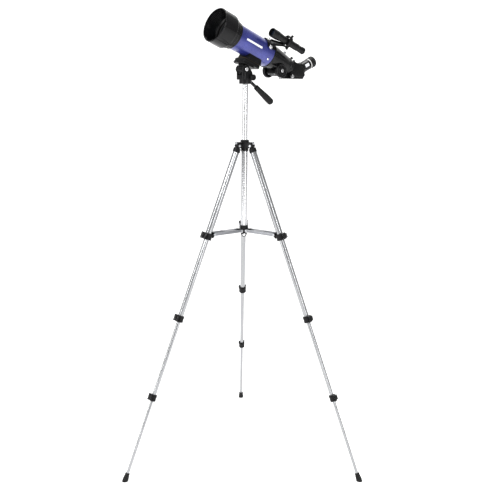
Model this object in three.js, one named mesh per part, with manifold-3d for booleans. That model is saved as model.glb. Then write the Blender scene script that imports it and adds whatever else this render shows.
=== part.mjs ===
// A small refractor telescope on a four-section aluminium tripod. Millimetres, +Z up, floor at z = 0.
// Every piece is drawn about the tripod's axis and the whole is then centred over its own footprint.
import * as THREE from "three";
import { mergeVertices } from "three/addons/utils/BufferGeometryUtils.js";
import Module from "manifold-3d";

const wasm = await Module();
wasm.setup();

// ---------- driving dimensions ----------
const GAP = 0.3; // running clearance between pieces that touch
const DEG = Math.PI / 180;
const FACETS = 0.2; // pairs of facets round a turned piece, per unit of its fineness

const SPLAY = 21.3 * DEG; // each leg's lean from the vertical
const LEG_LENGTH = 920; // along the leg, from its head to the floor
const LEG_HEAD_R = 22; // the leg line's distance from the tripod axis at its head
const LEG_AZIMUTHS = [90, 210, 330];
const LEG_HEAD_Z = LEG_LENGTH * Math.cos(SPLAY);
const PIVOT_S = -6; // fold pivot, along the leg line

const TUBES = [
  { r: 8.45, bore: 7.25, top: 2, end: 242.8 },
  { r: 6.85, bore: 5.75, top: 213, end: 469.5 },
  { r: 5.2, bore: 4.4, top: 440, end: 688.2 },
  { r: 4.0, bore: 3.2, top: 658, end: 905 },
];
const LOCK_WALL = 3.5; // a lock collar's ring stands this far outside the tube it clamps
const LOCK_HALF = 8.5; // half its length along the leg
const LEVER_HALF = 6;
const LUG = { u: -13, s: 232, halfV: 8.9, pin: 10.3 }; // where the brace meets the top lock

const COLUMN = { r: 7.2, bore: 6, bottom: 835, top: 1019.3, stud: 1022 };
const GUIDE = { r: 8.25, bore: 7.55, bottom: 629, top: 856 };
const BRACE_HUB = { r: 12.5, z: 638.5, bottom: 634.6, top: 651.5, bore: 8.6 };
const BRACE = { inner: 10.6, outer: 12.1, half: 3.65, length: 85.5, web: [16, 50] };

const HEAD_AZIMUTH = 39; // the telescope's heading, turned from -X towards -Y
const TELESCOPE_Z = 1122; // where the optical axis crosses the tripod axis
const ELEVATION = 21;
const TILT = { h: 10, z: 1056, r: 10 }; // the head's tilt axis
const YOKE_HALF = 17;
const YOKE_GAP = 9;
const HANDLE = { h: 15.05, z: 1049.1, drop: 36.1, rod: 4, start: 23, end: 132 };

const TUBE = { r: 32.5, bore: 31, front: 49.6, rear: -75 };
const SHIELD = { r: 43.4, bore: 40, front: 105.6, shoulder: 66, neck: 43 };
const FOCUSER_END = -150;
const DRAW = { r: 19.9, bore: 16.2, end: -158 };
const PINION = { s: -118, t: -27, r: 4.4, knob: 17.8 };
const EYEPIECE = { s: -199.9, t: 11, r: 14.5 };
const FINDER = { angle: 45, rho: 60, front: -37, rear: -157 };

// ---------- solids ----------
function solid(geometry) {
  const g = geometry.index ? geometry.toNonIndexed() : geometry;
  const bare = new THREE.BufferGeometry().setAttribute("position", g.getAttribute("position"));
  const m = mergeVertices(bare, 1e-4);
  return new wasm.Manifold(
    new wasm.Mesh({
      numProp: 3,
      vertProperties: new Float32Array(m.attributes.position.array),
      triVerts: new Uint32Array(m.index.array),
    }),
  );
}

function geometryOf(body) {
  const m = body.getMesh();
  return new THREE.BufferGeometry()
    .setAttribute("position", new THREE.BufferAttribute(new Float32Array(m.vertProperties), 3))
    .setIndex(new THREE.BufferAttribute(new Uint32Array(m.triVerts), 1));
}

const join = (...list) => wasm.Manifold.union(list);
const cut = (body, ...tools) => body.subtract(tools.length > 1 ? join(...tools) : tools[0]);

// A profile of [radius, height] turned about Z; it starts and ends on the axis, or closes on itself.
function turned(profile, fineness = 32) {
  const segments = Math.max(8, 2 * Math.round(fineness * FACETS));
  const points = profile.map(([r, z]) => new THREE.Vector2(r, z));
  const open = profile[0][0] === 0 && profile.at(-1)[0] === 0;
  if (!open) points.push(points[0].clone());
  const made = solid(new THREE.LatheGeometry(points, segments).rotateX(Math.PI / 2));
  return made.volume() < 0 ? solid(flipped(new THREE.LatheGeometry(points, segments))) : made;
}

function flipped(lathe) {
  const g = lathe.rotateX(Math.PI / 2).toNonIndexed();
  const p = g.attributes.position.array;
  for (let i = 0; i < p.length; i += 9)
    for (let k = 0; k < 3; k++) [p[i + 3 + k], p[i + 6 + k]] = [p[i + 6 + k], p[i + 3 + k]];
  return g;
}

const rod = (r, z0, z1, segments = 24) =>
  turned([[0, z0], [r, z0], [r, z1], [0, z1]], segments);
const pipe = (r, bore, z0, z1, segments = 24) =>
  turned([[bore, z0], [r, z0], [r, z1], [bore, z1]], segments);
const box = (x0, x1, y0, y1, z0, z1) =>
  solid(
    new THREE.BoxGeometry(x1 - x0, y1 - y0, z1 - z0).translate(
      (x0 + x1) / 2,
      (y0 + y1) / 2,
      (z0 + z1) / 2,
    ),
  );

// An outline of [x, y] raised from z0 to z1.
function raised(outline, z0, z1) {
  const shape = new THREE.Shape(outline.map(([x, y]) => new THREE.Vector2(x, y)));
  return solid(
    new THREE.ExtrudeGeometry(shape, { depth: z1 - z0, bevelEnabled: false }).translate(0, 0, z0),
  );
}

function disc(cx, cy, r, from, to, steps) {
  const out = [];
  for (let i = 0; i <= steps; i++) {
    const a = (from + ((to - from) * i) / steps) * DEG;
    out.push([cx + r * Math.cos(a), cy + r * Math.sin(a)]);
  }
  return out;
}

// Lays a solid drawn about Z along X, Y, -Y or -Z; an outline of (x, z) raised along Y uses "xz".
function laid(body, way) {
  if (way === "x") return body.rotate([0, 90, 0]);
  if (way === "y") return body.rotate([-90, 0, 0]);
  if (way === "-y") return body.rotate([90, 0, 0]);
  return body.rotate([90, 0, 0]); // "xz": outline (x, z), raised from y = -z0 down to y = -z1
}
const slab = (outline, half) => laid(raised(outline, -half, half), "xz");

// ---------- frames ----------
const basis = (x, y, z, o) => new THREE.Matrix4().makeBasis(x, y, z).setPosition(o);

// X outward from the tripod axis, Z down the leg.
function legFrame(azimuth) {
  const a = azimuth * DEG;
  const out = new THREE.Vector3(Math.cos(a), Math.sin(a), 0);
  const down = out.clone().multiplyScalar(Math.sin(SPLAY)).setZ(-Math.cos(SPLAY));
  const u = out.clone().multiplyScalar(Math.cos(SPLAY)).setZ(Math.sin(SPLAY));
  const v = down.clone().cross(u);
  return basis(u, v, down, out.multiplyScalar(LEG_HEAD_R).setZ(LEG_HEAD_Z));
}

// X outward along a leg's azimuth, Z up, on the tripod axis.
const armFrame = (azimuth) => new THREE.Matrix4().makeRotationZ(azimuth * DEG);

// X forward (level), Y to the telescope's left, Z up.
const headFrame = new THREE.Matrix4().makeRotationZ((180 + HEAD_AZIMUTH) * DEG);

// X along the optical axis towards the sky, Y to its left, Z up through the tube.
const scopeFrame = headFrame
  .clone()
  .multiply(new THREE.Matrix4().makeTranslation(0, 0, TELESCOPE_Z))
  .multiply(new THREE.Matrix4().makeRotationY(-ELEVATION * DEG));

const toScope = (h, z) => {
  const e = ELEVATION * DEG;
  const dz = z - TELESCOPE_Z;
  return [h * Math.cos(e) + dz * Math.sin(e), -h * Math.sin(e) + dz * Math.cos(e)];
};

const moved = (body, matrix) => body.transform(matrix.toArray());

// ---------- materials and the list of nodes ----------
const FINISH = {
  silver: { color: 0xb9bcc2, roughness: 0.34, metalness: 0.9 },
  steel: { color: 0xd3d5d8, roughness: 0.22, metalness: 1 },
  grey: { color: 0x8c8f94, roughness: 0.42, metalness: 0.7 },
  black: { color: 0x18191b, roughness: 0.5, metalness: 0 },
  gloss: { color: 0x0d0e11, roughness: 0.14, metalness: 0 },
  blue: { color: 0x14387d, roughness: 0.2, metalness: 0.45 },
  rubber: { color: 0x101113, roughness: 0.82, metalness: 0 },
  glass: { color: 0x24404c, roughness: 0.04, metalness: 0.1 },
  level: { color: 0x8fc93a, roughness: 0.12, metalness: 0 },
};
const root = new THREE.Group();
function add(name, body, frame, finish) {
  const g = geometryOf(frame ? moved(body, frame) : body);
  const mesh = new THREE.Mesh(g, new THREE.MeshStandardMaterial(FINISH[finish]));
  mesh.name = name;
  root.add(mesh);
}

// ---------- legs (drawn in the leg frame) ----------
function legCap() {
  const shell = turned([[8.45 + GAP, 2], [8.45 + GAP, 12], [9.4, 12], [9.8, 11.4], [9.8, 2], [9.2, 0.9], [0, 0.9], [0, 1.7], [8.45 + GAP, 1.7]], 28);
  const tongue = join(box(-5, 5, -4.8, 4.8, PIVOT_S, 1.4), laid(rod(5, -4.8, 4.8, 20), "y").translate([0, 0, PIVOT_S]));
  const hole = laid(rod(2.4, -6, 6, 16), "y").translate([0, 0, PIVOT_S]);
  return cut(join(shell, tongue), hole);
}

// A collar clamps the end of one tube round the next; its ring is flat-sided where a brace passes.
function lockCollar(k) {
  const upper = TUBES[k];
  const lower = TUBES[k + 1];
  const R = upper.r + LOCK_WALL;
  const s = upper.end;
  let ring = rod(R, s - LOCK_HALF, s + LOCK_HALF, 28);
  ring = join(ring, box(0, R + 0.8, 5 - R, R - 5, s - LOCK_HALF, s + LOCK_HALF));
  for (const side of [-1, 1]) {
    const z = s + side * (LOCK_HALF - 1.1);
    ring = join(ring, raised([[0, 0], [R - 1, -2], [R + 2.8, R - 4.6], [R + 4, R - 2.5], [R + 2, R + 0.2], [R - 1.5, R + 0.4], [4, R - 1.4]], z - 1.1, z + 1.1));
  }
  const solids = [ring];
  if (k === 0) {
    solids.push(box(LUG.u - 3.5, 0, -LUG.halfV, LUG.halfV, LUG.s - 4, s));
    solids.push(laid(rod(1.6, -LUG.pin, LUG.pin, 12), "y").translate([LUG.u, 0, LUG.s]));
  }
  let body = join(...solids);
  if (k === 0) body = body.intersect(join(box(-40, 6, -LUG.pin, LUG.pin, 0, 400), box(5.9, 40, -20, 20, 0, 400)));
  const [pu, pv] = leverPin(k);
  return cut(
    body,
    rod(upper.r + GAP, s - 30, s + 0.6, 28),
    rod(lower.r + GAP, s - 30, s + 30, 28),
    rod(1.7, s - 20, s + 20, 12).translate([pu, pv, 0]),
  );
}

const leverPin = (k) => {
  const R = TUBES[k].r + LOCK_WALL;
  return [R + 1, R - 2.5];
};

// The flip lever lies over the collar's outer face and turns on a pin parallel to the leg.
function lockLever(k) {
  const R = TUBES[k].r + LOCK_WALL;
  const s = TUBES[k].end;
  const [pu, pv] = leverPin(k);
  const plate = raised(
    [[pu + 0.2, pv], [pu + 2.5, pv], [R + 4.6, 0.3 * R], [R + 4.6, -0.3 * R], [R + 3, -R + 1.5], [R - 0.5, -R - 1.8], [R - 1.6, -R - 0.6], [R + 1.1, -R + 3], [R + 1.3, 0]],
    s - LEVER_HALF,
    s + LEVER_HALF,
  );
  const knuckle = rod(2.5, s - LEVER_HALF, s + LEVER_HALF, 16).translate([pu, pv, 0]);
  const stubs = rod(1.3, s - LOCK_HALF + 0.4, s + LOCK_HALF - 0.4, 12).translate([pu, pv, 0]);
  return join(plate, knuckle, stubs);
}

function foot() {
  const s = LEG_LENGTH;
  const shape = turned([[0, s + 6], [7.7, s + 6], [7.5, s - 4], [6.6, s - 16], [5.9, s - 22], [0, s - 22]], 28);
  const bore = rod(TUBES[3].r + GAP, s - 40, TUBES[3].end + GAP, 28);
  const slope = Math.tan(SPLAY);
  const below = slab([[-30, s - 30 * slope], [30, s + 30 * slope], [30, s + 60], [-30, s + 60]], 30);
  return cut(shape, bore, below);
}

// A channel strut astride the leg: two flat arms joined by a web over their middle.
function brace() {
  const { inner, outer, half, length, web } = BRACE;
  const arm = [[0, -half], ...disc(length - half, 0, half, -90, 90, 6), ...disc(0, 0, half, 90, 270, 8).slice(0, -1)];
  const side = slab(arm, outer);
  const channel = box(-20, length + 20, -inner, inner, -half - 1, half - 1.5);
  const ends = join(
    box(-20, web[0], -inner, inner, -half - 1, half + 1),
    box(web[1], length + 20, -inner, inner, -half - 1, half + 1),
  );
  return cut(side, channel, ends, laid(rod(1.9, -20, 20, 12), "y"));
}

function braceFrame(azimuth) {
  const lugR = LEG_HEAD_R + LUG.s * Math.sin(SPLAY) + LUG.u * Math.cos(SPLAY);
  const lugZ = LEG_HEAD_Z - LUG.s * Math.cos(SPLAY) + LUG.u * Math.sin(SPLAY);
  const dip = Math.atan2(BRACE_HUB.z - lugZ, lugR - BRACE_HUB.r);
  return armFrame(azimuth)
    .multiply(new THREE.Matrix4().makeTranslation(BRACE_HUB.r, 0, BRACE_HUB.z))
    .multiply(new THREE.Matrix4().makeRotationY(dip));
}

// ---------- the tripod's middle (drawn on its axis) ----------
function spider() {
  const parts = [rod(12, 856.3, 872, 36), rod(9.5, 848.8, 857, 32), rod(9.3, 871, 875, 32)];
  const pivotR = LEG_HEAD_R + PIVOT_S * Math.sin(SPLAY);
  const pivotZ = LEG_HEAD_Z - PIVOT_S * Math.cos(SPLAY);
  const ear = [[8, 856.3], [pivotR, 856.3], ...disc(pivotR, pivotZ, 6.3, -90, 40, 6), [pivotR + 4.8, 872], [8, 872]];
  for (const azimuth of LEG_AZIMUTHS) {
    const turn = armFrame(azimuth);
    const fork = cut(slab(ear, 8.5), box(13.8, 40, -5.1, 5.1, 850, pivotZ + 5.6));
    const pin = laid(rod(2, -8, 8, 16), "y").translate([pivotR, 0, pivotZ]);
    const bolt = laid(turned([[0, 0], [4.2, 0], [4.2, 2.6], [3.4, 3.8], [0, 4.2]], 16), "x").translate([pivotR + 4, 0, 870]);
    parts.push(moved(join(fork, pin, bolt), turn));
  }
  return cut(join(...parts), rod(COLUMN.r + GAP, 800, 900, 32), rod(GUIDE.r + GAP, 800, GUIDE.top + GAP, 32));
}

function guideTube() {
  const { r, bore, bottom, top } = GUIDE;
  const boss = laid(turned([[0, 2], [6.5, 2], [6.5, 9], [5.6, 9.6], [4.9, 9.2], [4.6, 9.6], [3, 10.6], [0, 11]], 24), "-y");
  return join(pipe(r, bore, bottom, top, 32), rod(r, bottom - 3, bottom + 2, 32), rod(4.6, 621.5, bottom, 24), boss.translate([0, 0, 627.75]));
}

function braceHub() {
  const { r, z, bottom, top, bore } = BRACE_HUB;
  const parts = [turned([[0, bottom], [13, bottom], [13, bottom + 2], [11.6, bottom + 8], [10.6, top - 1], [10, top], [0, top]], 36)];
  for (const azimuth of LEG_AZIMUTHS) {
    const ear = join(box(0, r + 3, -9, 9, bottom, z + 4), laid(rod(1.6, -BRACE.outer - 0.4, BRACE.outer + 0.4, 12), "y").translate([r, 0, z]));
    parts.push(moved(ear, armFrame(azimuth)));
  }
  return cut(join(...parts), rod(bore, bottom - 5, top + 5, 32));
}

function centerColumn() {
  const { r, bore, bottom, top, stud } = COLUMN;
  const wall = turned([[bore, bottom], [r, bottom], [r, top], [5, top], [5, stud], [0, stud], [0, top - 4], [bore, top - 4]], 32);
  return wall;
}

function columnCollar() {
  const grip = turned([[COLUMN.r + GAP, 875.3], [COLUMN.r + GAP, 877.3], [10.6, 877.3], [11.3, 876.4], [11.3, 872.3], [9.6, 872.3], [9.6, 875.3]], 36);
  return grip;
}

for (const [i, azimuth] of LEG_AZIMUTHS.entries()) {
  const frame = legFrame(azimuth);
  const leg = "leg" + (i + 1);
  add(leg + "_cap", legCap(), frame, "black");
  TUBES.forEach((t, k) => add(leg + "_tube" + (k + 1), pipe(t.r, t.bore, t.top, t.end, 28), frame, "silver"));
  for (let k = 0; k < 3; k++) {
    add(leg + "_lock" + (k + 1), lockCollar(k), frame, "black");
    add(leg + "_lever" + (k + 1), lockLever(k), frame, "black");
  }
  add(leg + "_foot", foot(), frame, "rubber");
  add("brace" + (i + 1), brace(), braceFrame(azimuth), "grey");
}
add("spider", spider(), null, "black");
add("guide_tube", guideTube(), null, "silver");
add("brace_hub", braceHub(), null, "black");
add("center_column", centerColumn(), null, "silver");
add("column_collar", columnCollar(), null, "black");

// ---------- pan head (drawn in the head frame) ----------
const handleAxis = () => new THREE.Matrix4()
  .makeTranslation(HANDLE.h, 0, HANDLE.z)
  .multiply(new THREE.Matrix4().makeRotationY((-90 - HANDLE.drop) * DEG));

function panBody() {
  const side = [[-15.5, 1030], [19, 1030], [20.5, 1040], ...disc(TILT.h, TILT.z, 10.5, 0, 150, 10), [-15.5, 1042]];
  const rounded = raised([...disc(10.5, 7, 10, 0, 90, 5), ...disc(-5.5, 7, 10, 90, 180, 5), ...disc(-5.5, -7, 10, 180, 270, 5), ...disc(10.5, -7, 10, 270, 360, 5)], 1019.6, 1080);
  const block = slab(side, YOKE_HALF).intersect(rounded);
  const base = turned([[0, 1019.6], [15, 1019.6], [16, 1020.6], [16, 1030.5], [0, 1030.5]], 36);
  const bolt = laid(turned([[0, 0], [5, 0], [5, 1.6], [3.6, 2.9], [0, 3.3]], 20), "y").translate([TILT.h, YOKE_HALF - 0.5, TILT.z]);
  const gap = slab([[30, 1042], [18.3, 1042], [5.2, 1028.8], [2.2, 1031], [-30, 1031], [-30, 1080], [30, 1080]], YOKE_GAP);
  const slot = slab([[8, 1035.4], [-8, 1019.3], [-30, 997.2], [-30, 1040], [8, 1040]], 4.7);
  const axle = laid(rod(4 + GAP, -14.3, 14.3, 28), "y").translate([TILT.h, 0, TILT.z]);
  const knobHole = laid(rod(2.3, 12, 20, 16), "y").translate([-8, 0, 1036]);
  return cut(join(block, base, bolt), gap, slot, axle, knobHole, rod(5 + GAP, 1000, COLUMN.stud + GAP, 24));
}

function panKnob() {
  const grip = turned([[0, 17.4], [7.2, 17.4], [8, 18.2], [8, 24.2], [7.2, 25], [0, 25]], 24);
  const notches = Array.from({ length: 8 }, (_, i) => rod(1.3, 16, 26, 8).translate([8.6, 0, 0]).rotate([0, 0, i * 45]));
  const knob = join(cut(grip, ...notches), rod(2, 12.4, 18, 16));
  return laid(knob, "y").translate([-8, 0, 1036]);
}

function handle() {
  const { rod: r, start, end } = HANDLE;
  const grip = turned([[0, 8], [3.2, 8], [3.2, start - 1], [r, start - 0.4], [r, 62], [6.6, 63], [7.4, 75], [9, 118], [9, end - 5], [6.5, end - 0.6], [0, end]], 24);
  const grooves = Array.from({ length: 10 }, (_, i) => rod(0.9, 66, end - 9, 6).translate([9.3, 0, 0]).rotate([0, 0, i * 36]));
  return cut(grip, ...grooves);
}

// ---------- telescope (drawn in the telescope frame) ----------
const [TILT_S, TILT_T] = toScope(TILT.h, TILT.z);
const HINGE = { y: -20.8, t: -50.3 }; // portrait flip hinge, along the optical axis

function tiltBlock() {
  const barrel = laid(join(rod(TILT.r, -8.7, 8.7, 32), rod(4, -14, 14, 28)), "y").translate([TILT_S, 0, TILT_T]);
  const neck = box(TILT_S - 8, TILT_S + 8, -8.7, 8.7, TILT_T, -53);
  const plate = box(-36, 4, -18, 19, -54.5, -50.6);
  const knuckles = [[-34, -24], [-6, 3]].map(([a, b]) =>
    join(laid(rod(2.4, a, b, 16), "x").translate([0, HINGE.y, HINGE.t]), box(a, b, HINGE.y - 0.5, -17, -54.5, -51.2)));
  const pin = laid(rod(1.1, -34, 3, 12), "x").translate([0, HINGE.y, HINGE.t]);
  const [s, t] = toScope(HANDLE.h, HANDLE.z);
  const bossAxis = new THREE.Matrix4().makeTranslation(s, 0, t)
    .multiply(new THREE.Matrix4().makeRotationY((-90 - HANDLE.drop + ELEVATION) * DEG));
  const boss = moved(rod(6.4, -3, 22, 24), bossAxis);
  const bore = moved(rod(3.2 + GAP, 7.7, 30, 24), bossAxis);
  return cut(join(barrel, neck, plate, ...knuckles, pin, boss), bore);
}

function platform() {
  const plate = box(-52, 4, -17.9, 20, -50.2, -40);
  const knuckle = join(
    laid(rod(2.4, -23.4, -6.6, 16), "x").translate([0, HINGE.y, HINGE.t]),
    box(-23.4, -6.6, HINGE.y - 0.6, -17, -50.2, -46.5),
  );
  const saddle = raised([[-52, -20], [-5, -20], [-5, 20], [-52, 20]], -42, -18);
  const seat = laid(rod(TUBE.r + GAP, -80, 60, 48), "x");
  const flank = slab([[-70, -60], [-53, -40], [-48, -20], [-48, -10], [-9, -10], [-9, -20], [-3, -40], [20, -60]], 40);
  const vial = laid(rod(2.8, 8.6, 18.4, 20), "y").translate([-49.4, 0, -45.2]);
  return cut(join(plate, knuckle, saddle.intersect(flank)), seat, vial, laid(rod(1.4, -40, 20, 12), "x").translate([0, HINGE.y, HINGE.t]));
}

const bubbleLevel = () => laid(rod(2.5, 8.9, 18.1, 20), "y").translate([-49.4, 0, -45.2]);

function mainTube() {
  const wall = laid(pipe(TUBE.r, TUBE.bore, TUBE.rear, TUBE.front, 48), "x");
  const head = turned([[0, TUBE.bore + 0.5], [2.6, TUBE.bore + 0.5], [2.6, TUBE.r + 1], [1.8, TUBE.r + 1.8], [0, TUBE.r + 2]], 12);
  const screws = [116, -4, 236].map((a) => head.rotate([a, 0, 0]).translate([-62, 0, 0]));
  return join(wall, ...screws);
}

function dewShield() {
  const { r, bore, front, shoulder, neck } = SHIELD;
  return laid(turned([
    [32.8, neck], [34.6, neck], [35.4, 43.6], [35.4, 46.4], [34.8, 47], [35.2, 52], [38.2, 54], [38.2, 61],
    [39.4, 63], [r - 0.6, shoulder], [r, shoulder + 1.5], [r, front - 1], [r - 1, front],
    [bore + 0.8, front], [bore, front - 1], [bore, 68], [36.6, 64], [36.6, 54.6], [32.8, 54.6],
  ], 48), "x");
}

function objective() {
  return laid(turned([
    [0, 46], [30.2, 46], [30.2, 55], [35.7, 55], [35.7, 62],
    [31.4, 62], [31, 59.4], [24, 61.5], [16, 62.8], [8, 63.6], [0, 63.9],
  ], 44), "x");
}

function focuserBody() {
  const end = FOCUSER_END;
  const cone = laid(turned([
    [0, -79], [30.7, -79], [30.7, -72], [30.4, -70], [0, -70],
  ], 48), "x");
  const shell = laid(turned([
    [0, end], [21.8, end], [23, end + 1.2], [23.8, -140], [25.5, -130], [28.4, -108], [30.2, -94], [31.4, -80.5], [33.4, -80], [33.4, -75.3], [0, -75.3],
  ], 48), "x");
  const housing = join(
    box(PINION.s - 11, PINION.s + 11, -17, 17, -38.5, -18),
    rod(2.4, 22, 33, 12).translate([-134, 0, 0]),
  );
  const bore = laid(join(rod(DRAW.r + GAP, end - 5, -86, 40), turned([[0, -86.2], [20.2, -86.2], [29, -78], [29, -60], [0, -60]], 40)), "x");
  const wheel = laid(rod(PINION.r + 0.6, -6.4, 6.4, 24), "y").translate([PINION.s, 0, PINION.t]);
  const shaft = laid(rod(3 + GAP, -30, 30, 28), "y").translate([PINION.s, 0, PINION.t]);
  const channel = box(end - 5, -88, -3.4, 3.4, -22.6, -15);
  const wells = [21.6, -60].map((y) => laid(rod(18.8, y, y + 38.4, 36), "y").translate([PINION.s, 0, PINION.t]));
  return cut(join(cone, shell, housing), bore, wheel, shaft, channel, ...wells);
}

function drawtube() {
  const tube = laid(turned([
    [DRAW.bore, DRAW.end], [20.6, DRAW.end], [21.4, DRAW.end + 0.8], [21.4, -151.6], [20.8, -151], [DRAW.r, -151], [DRAW.r, -90], [18.2, -90], [18.2, -134], [DRAW.bore, -136],
  ], 40), "x");
  const rack = box(-149, -92, -3, 3, -22.3, -19);
  const gaps = Array.from({ length: 9 }, (_, i) => box(-147 + 6 * i, -144 + 6 * i, -4, 4, -23, -21.2));
  const screw = turned([[0, 18], [1.6, 18], [1.6, 23], [3.6, 23], [3.6, 27.4], [3, 28], [0, 28]], 14);
  const screws = [-22, 98].map((a) => screw.rotate([a, 0, 0]).translate([-154.6, 0, 0]));
  return join(tube, cut(rack, ...gaps), ...screws.map((s) => cut(s, laid(rod(DRAW.bore + 0.4, -170, -100, 40), "x"))));
}

function focusKnobs() {
  const knob = (side) => {
    const rib = turned([[0, 22], [16.6, 22], [17.8, 23], [17.8, 28.4], [17.2, 29.4], [15.4, 29.8], [12.2, 29.2], [12, 30.2], [10.6, 31], [0, 31.3]], 36);
    return side > 0 ? laid(rib, "y") : laid(rib, "-y");
  };
  const shaft = laid(rod(3, -24, 24, 28), "y");
  const pinion = laid(rod(PINION.r, -6, 6, 40), "y");
  return join(knob(1), knob(-1), shaft, pinion).translate([PINION.s, 0, PINION.t]);
}

const eyepieceAxis = new THREE.Matrix4()
  .makeTranslation(EYEPIECE.s, 0, EYEPIECE.t)
  .multiply(new THREE.Matrix4().makeRotationY(-45 * DEG));

function diagonal() {
  const nose = laid(rod(DRAW.bore - 0.5, -164, -138, 40), "x");
  const flange = laid(turned([[0, -164], [18.4, -164], [18.4, -159.4], [17.6, -158.4], [0, -158.4]], 36), "x");
  const body = slab([[-163, 17], [-181, 17], [-187.3, 23.4], [-211.5, -0.8], [-207.4, -13.9], [-152.4, -34.9], [-151.6, -32.9], [-163, -27.9]], 17);
  const collar = moved(turned([[0, -6], [16.6, -6], [16.6, 6.4], [16, 7], [0, 7]], 36), eyepieceAxis);
  const screw = laid(turned([[0, 0], [2, 0], [2, 19], [4.4, 19], [4.4, 24], [3.8, 24.6], [0, 24.6]], 16), "y").translate([-167, -3, -23]);
  const topScrew = turned([[0, 14], [1.6, 14], [1.6, 19], [3.2, 19], [3.2, 25], [0, 25]], 14).translate([-173, 0, 0]);
  const light = join(laid(rod(12.4, -200, -130, 32), "x").intersect(box(-189, -130, -20, 20, -20, 20)), moved(rod(12.4 + GAP, -14, 20, 36), eyepieceAxis));
  return cut(join(nose, flange, body, collar, screw, topScrew), light);
}

function eyepiece() {
  return moved(turned([
    [0, -8], [12.4, -8], [12.4, 7.3], [13.6, 7.3], [14.2, 8], [14.2, 33.4], [13.6, 34], [14.8, 34.4], [14.8, 37], [13.9, 37.4],
    [15.2, 40], [15.2, 52.6], [14.2, 53.5], [12.2, 53.5], [11.4, 48], [9.6, 45.5], [0, 44.6],
  ], 36), eyepieceAxis);
}

const finderAxis = new THREE.Matrix4()
  .makeRotationX(-FINDER.angle * DEG)
  .multiply(new THREE.Matrix4().makeTranslation(0, 0, FINDER.rho));

function finderBracket() {
  const plate = laid(pipe(36, TUBE.r + GAP, -74, -50, 48), "x").intersect(moved(slab([[-80, 0], [-80, 60], [-40, 60], [-40, 0]], 16), finderAxis.clone().multiply(new THREE.Matrix4().makeTranslation(0, 0, -FINDER.rho))));
  const ring = laid(pipe(15.6, 12.6, -101, -91, 32), "x");
  const web = slab([[-52, -25.5], [-72, -25.5], [-100, -13.2], [-92, -13.2], [-60, -22.5]], 1.8);
  const screw = turned([[0, 9.4], [1.6, 9.4], [1.6, 17], [3.4, 17], [3.4, 21], [2.8, 21.6], [0, 21.6]], 12);
  const screws = [0, 120, 240].map((a) => screw.rotate([a, 0, 0]).translate([-96, 0, 0]));
  const nut = turned([[0, 34], [5.2, 35.6], [5.2, 38.4], [4.4, 39.2], [2.2, 39.4], [2.2, 42], [0, 42.2]], 16);
  const nuts = [-19, 19].map((a) => nut.rotate([a, 0, 0]).translate([-63, 0, -FINDER.rho]));
  return join(moved(join(ring, web, ...screws, ...nuts), finderAxis), plate);
}

function finderScope() {
  const { front, rear } = FINDER;
  return moved(laid(turned([
    [0, rear + 3], [6, rear + 3], [6.6, rear], [8.2, rear], [9, rear + 1], [9, rear + 9], [8.2, rear + 12], [8.2, rear + 24], [9, rear + 25],
    [9, -84], [9.4, -70], [11.2, -58], [11.4, front - 1], [10.9, front], [9.8, front], [9.6, front - 12], [0, front - 12],
  ], 32), "x"), finderAxis);
}

add("pan_body", panBody(), headFrame, "black");
add("pan_knob", panKnob(), headFrame, "black");
add("handle", handle(), headFrame.clone().multiply(handleAxis()), "black");
add("tilt_block", tiltBlock(), scopeFrame, "black");
add("platform", platform(), scopeFrame, "black");
add("bubble_level", bubbleLevel(), scopeFrame, "level");
add("main_tube", mainTube(), scopeFrame, "blue");
add("dew_shield", dewShield(), scopeFrame, "gloss");
add("objective", objective(), scopeFrame, "glass");
add("focuser_body", focuserBody(), scopeFrame, "gloss");
add("drawtube", drawtube(), scopeFrame, "gloss");
add("focus_knobs", focusKnobs(), scopeFrame, "black");
add("diagonal", diagonal(), scopeFrame, "gloss");
add("eyepiece", eyepiece(), scopeFrame, "black");
add("finder_bracket", finderBracket(), scopeFrame, "black");
add("finder_scope", finderScope(), scopeFrame, "gloss");

// The footprint's middle becomes the origin; the feet stand on z = 0.
root.updateMatrixWorld(true);
const bounds = new THREE.Box3().setFromObject(root);
const middle = bounds.getCenter(new THREE.Vector3());
for (const mesh of root.children) mesh.geometry.translate(-middle.x, -middle.y, 0);

export default root;
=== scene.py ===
"""A small refractor telescope on a four-section tripod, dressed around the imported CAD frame."""

import math

import bmesh
import bpy
from mathutils import Matrix, Vector


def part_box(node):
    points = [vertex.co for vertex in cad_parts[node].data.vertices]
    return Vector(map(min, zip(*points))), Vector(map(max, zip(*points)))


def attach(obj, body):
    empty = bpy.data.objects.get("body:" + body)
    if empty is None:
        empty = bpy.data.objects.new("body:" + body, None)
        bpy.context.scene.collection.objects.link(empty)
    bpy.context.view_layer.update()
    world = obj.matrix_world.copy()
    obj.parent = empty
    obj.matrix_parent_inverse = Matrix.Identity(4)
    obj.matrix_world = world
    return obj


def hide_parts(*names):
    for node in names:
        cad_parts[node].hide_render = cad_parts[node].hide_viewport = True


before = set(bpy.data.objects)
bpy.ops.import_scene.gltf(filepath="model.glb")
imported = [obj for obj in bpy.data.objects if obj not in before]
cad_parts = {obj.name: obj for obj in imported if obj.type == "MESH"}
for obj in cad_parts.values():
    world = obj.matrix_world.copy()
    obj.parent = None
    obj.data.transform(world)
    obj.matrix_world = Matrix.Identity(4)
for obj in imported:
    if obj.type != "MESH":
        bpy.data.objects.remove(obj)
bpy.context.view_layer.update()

# ---------- driving dimensions, in millimetres ----------
MM = 0.001
SPLAY = math.radians(21.3)  # each leg's lean from the vertical
LEG_LENGTH = 920.0
LEG_HEAD_R = 22.0
LEG_HEAD_Z = LEG_LENGTH * math.cos(SPLAY)
PIVOT_S = -6.0
PIVOT_R = LEG_HEAD_R + PIVOT_S * math.sin(SPLAY)
PIVOT_Z = LEG_HEAD_Z - PIVOT_S * math.cos(SPLAY)
LEG_AZIMUTHS = {1: 90, 2: 210, 3: 330}
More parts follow.
